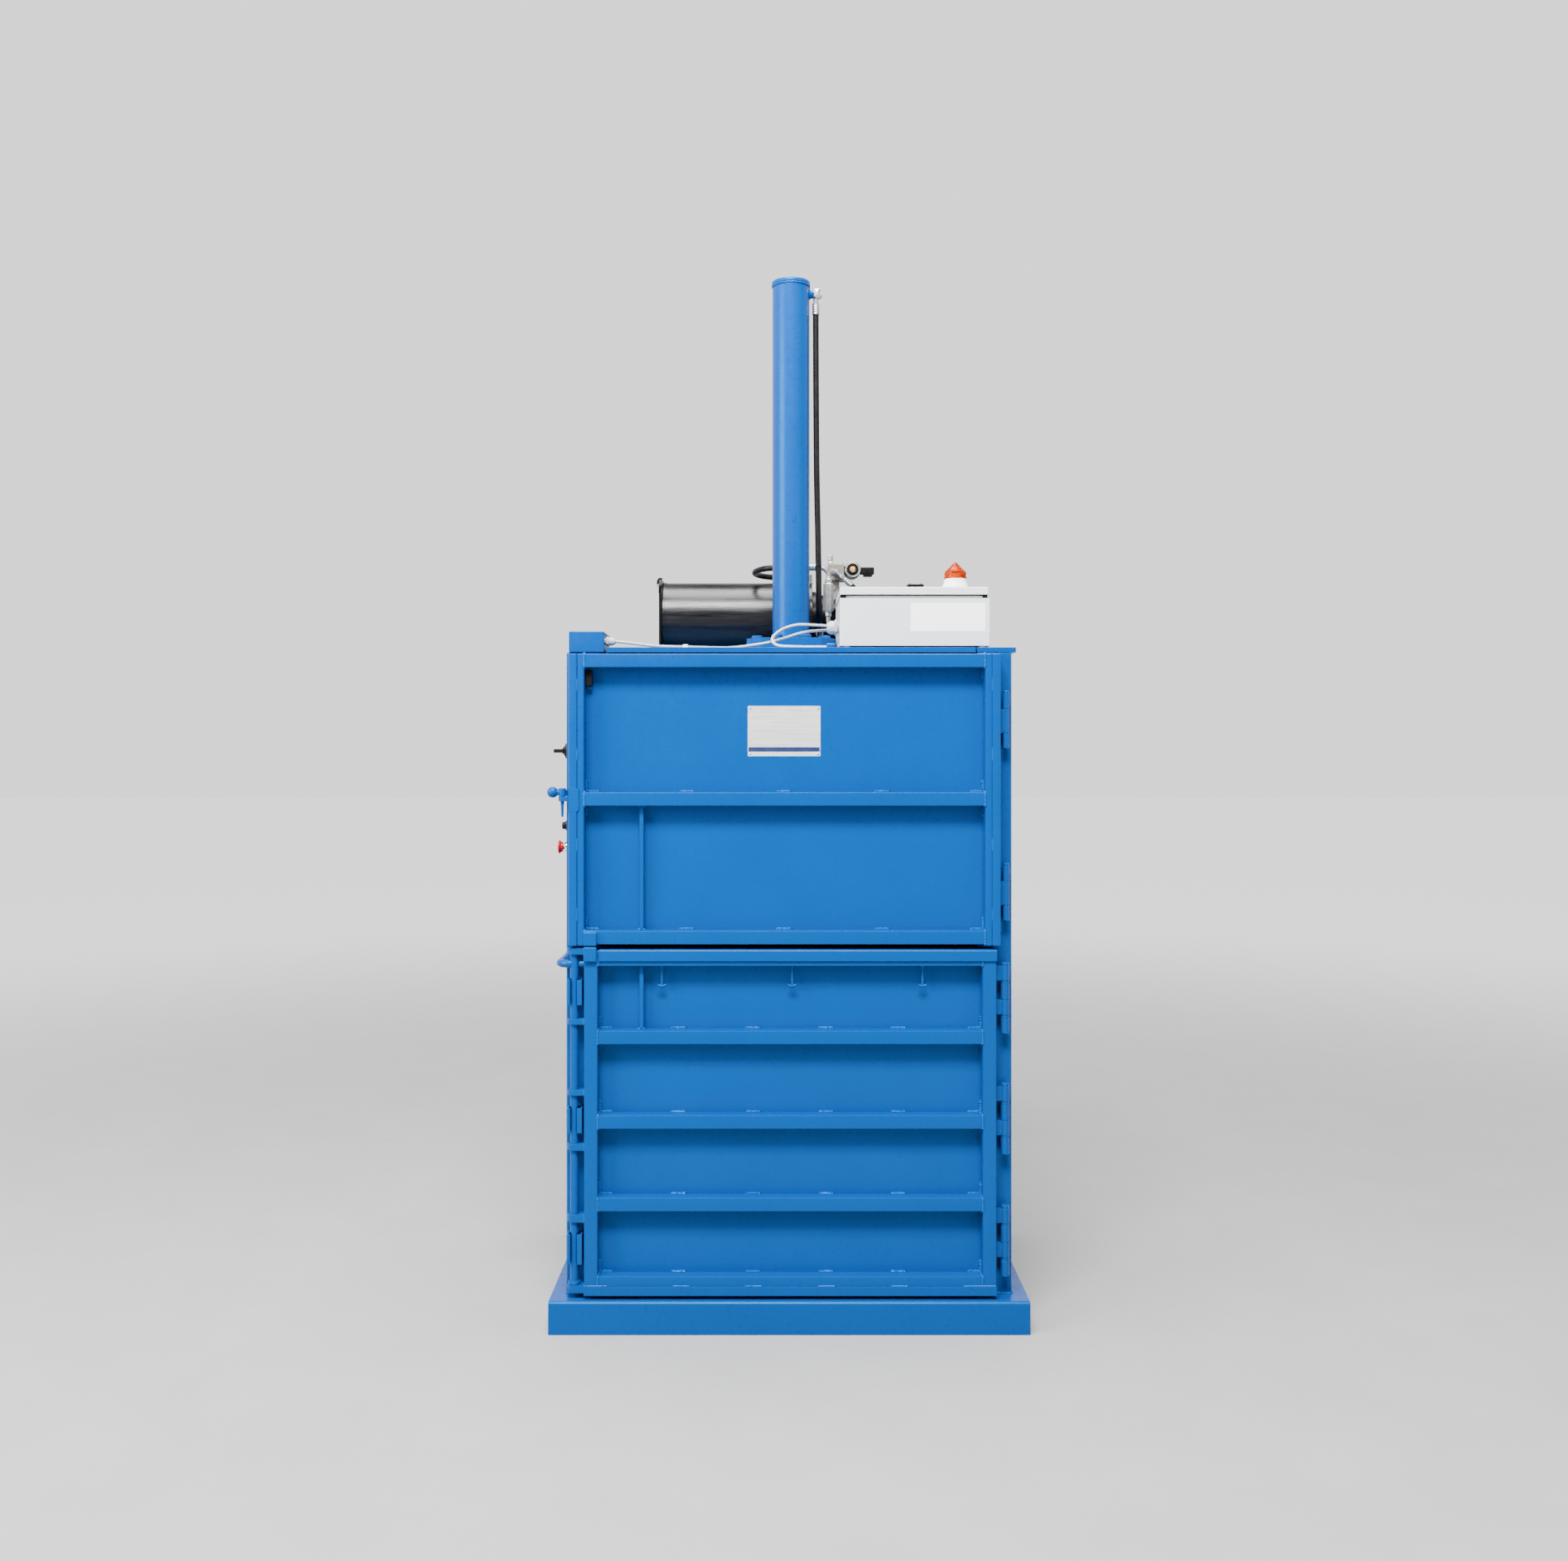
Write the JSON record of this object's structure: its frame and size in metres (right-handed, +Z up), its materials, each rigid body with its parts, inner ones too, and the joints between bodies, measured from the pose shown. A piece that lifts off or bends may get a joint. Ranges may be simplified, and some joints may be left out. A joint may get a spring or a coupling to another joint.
{
  "type": "recycling baler",
  "caption": "Upright two-door recycling baler: a steel pressing chamber under a tall hydraulic cylinder, with power unit, electrical box and beacon on its roof.",
  "frame": {"origin": "on the floor under the middle of the base", "axes": "+X to the right seen from the front, +Y into the machine, +Z up; the doors close the -Y side"},
  "size_m": [1.397, 0.96, 3.171],
  "materials": {
    "blue_paint": "sky-blue gloss paint with a light orange-peel",
    "grey_paint": "light grey powder coat",
    "black_paint": "black gloss paint",
    "steel": "machined",
    "zinc": "zinc plated",
    "chrome": "hard chromed and ground",
    "aluminium": "machined, slightly warm",
    "plate_metal": "satin plate with a plain colour stripe",
    "grey_plastic": "moulded",
    "white_plastic": "machined slide plastic",
    "black_plastic": "moulded",
    "red_plastic": "moulded, glossy",
    "orange_lens": "ribbed translucent lens",
    "hose_rubber": "smooth wrapped hose cover",
    "cable_grey": "round sheathed cable"
  },
  "bodies": {
    "frame": {"base_frame": "blue_paint", "floor_plate": "blue_paint", "left_side_frame": "blue_paint", "right_side_frame": "blue_paint", "left_side_sheet": "blue_paint", "right_side_sheet": "blue_paint", "rear_sheet": "blue_paint", "rear_ribs": "blue_paint", "top_plate": "blue_paint", "top_beams": "blue_paint", "cylinder_tube": "blue_paint", "cylinder_head": "blue_paint", "cylinder_flange": "blue_paint", "flange_bolts": "blue_paint", "cylinder_gland": "steel", "switch_box": "blue_paint", "cable_glands": "grey_plastic", "enclosure_body": "grey_paint", "control_gear": "black_plastic", "lid_hinge_pins": "zinc", "tank": "black_paint", "tank_brackets": "black_paint", "pump_manifold": "aluminium", "motor": "grey_paint", "solenoid_coil": "black_plastic", "port_fitting": "zinc", "valve_fittings": "zinc", "pressure_hose": "hose_rubber", "loop_hose": "hose_rubber", "panel_cable": "cable_grey", "switch_cable": "cable_grey", "frame_knuckles": "blue_paint", "hinge_pins": "blue_paint", "lock_keepers": "blue_paint", "control_panel": "blue_paint", "control_collars": "black_plastic"},
    "upper_door": {"upper_door_frame": "blue_paint", "upper_door_sheet": "blue_paint", "upper_door_knuckles": "blue_paint", "door_magnet": "black_plastic", "name_plate": "plate_metal", "latch_bracket": "blue_paint"},
    "latch": {"latch_lever": "blue_paint"},
    "lower_door": {"lower_door_frame": "blue_paint", "lower_door_sheet": "blue_paint", "lower_door_lip": "blue_paint", "lower_door_knuckles": "blue_paint", "strap_hooks": "blue_paint"},
    "lock": {"lock_shaft": "blue_paint", "lock_lever": "blue_paint"},
    "ram": {"piston": "steel", "piston_rod": "chrome", "platen": "blue_paint", "platen_shoes": "white_plastic"},
    "enclosure_cover": {"enclosure_lid": "grey_paint", "beacon_base": "grey_plastic", "beacon_lens": "orange_lens"},
    "isolator": {"isolator_knob": "black_plastic"},
    "stop_switch": {"stop_button": "red_plastic"},
    "start_switch": {"start_button": "black_plastic"}
  },
  "joints": [
    {"name": "upper_door_hinge", "type": "hinge", "parent": "frame", "child": "upper_door", "pos_m": [0.626, -0.437, 1.508], "axis": [0, 0, 1], "range_deg": [0, 170]},
    {"name": "latch_turn", "type": "hinge", "parent": "upper_door", "child": "latch", "pos_m": [-0.655, -0.437, 1.551], "axis": [0, 0, 1], "range_deg": [0, 75]},
    {"name": "lower_door_hinge", "type": "hinge", "parent": "frame", "child": "lower_door", "pos_m": [0.623, -0.437, 0.6], "axis": [0, 0, 1], "range_deg": [0, 170]},
    {"name": "lock_turn", "type": "hinge", "parent": "lower_door", "child": "lock", "pos_m": [-0.62, -0.437, 0.606], "axis": [0, 0, 1], "range_deg": [0, 90]},
    {"name": "ram_slide", "type": "slide", "parent": "frame", "child": "ram", "axis": [0, 0, -1], "range_m": [0, 1]},
    {"name": "enclosure_lid_hinge", "type": "hinge", "parent": "frame", "child": "enclosure_cover", "pos_m": [0.374, -0.022, 2.146], "axis": [-1, 0, 0], "range_deg": [0, 100]},
    {"name": "isolator_turn", "type": "hinge", "parent": "frame", "child": "isolator", "pos_m": [-0.647, -0.25, 1.672], "axis": [-1, 0, 0], "range_deg": [0, 90]},
    {"name": "stop_press", "type": "slide", "parent": "frame", "child": "stop_switch", "axis": [1, 0, 0], "range_m": [0, 0.006]},
    {"name": "start_press", "type": "slide", "parent": "frame", "child": "start_switch", "axis": [1, 0, 0], "range_m": [0, 0.005], "stiffness_N_per_m": 800, "springref_m": -0.002}
  ]
}
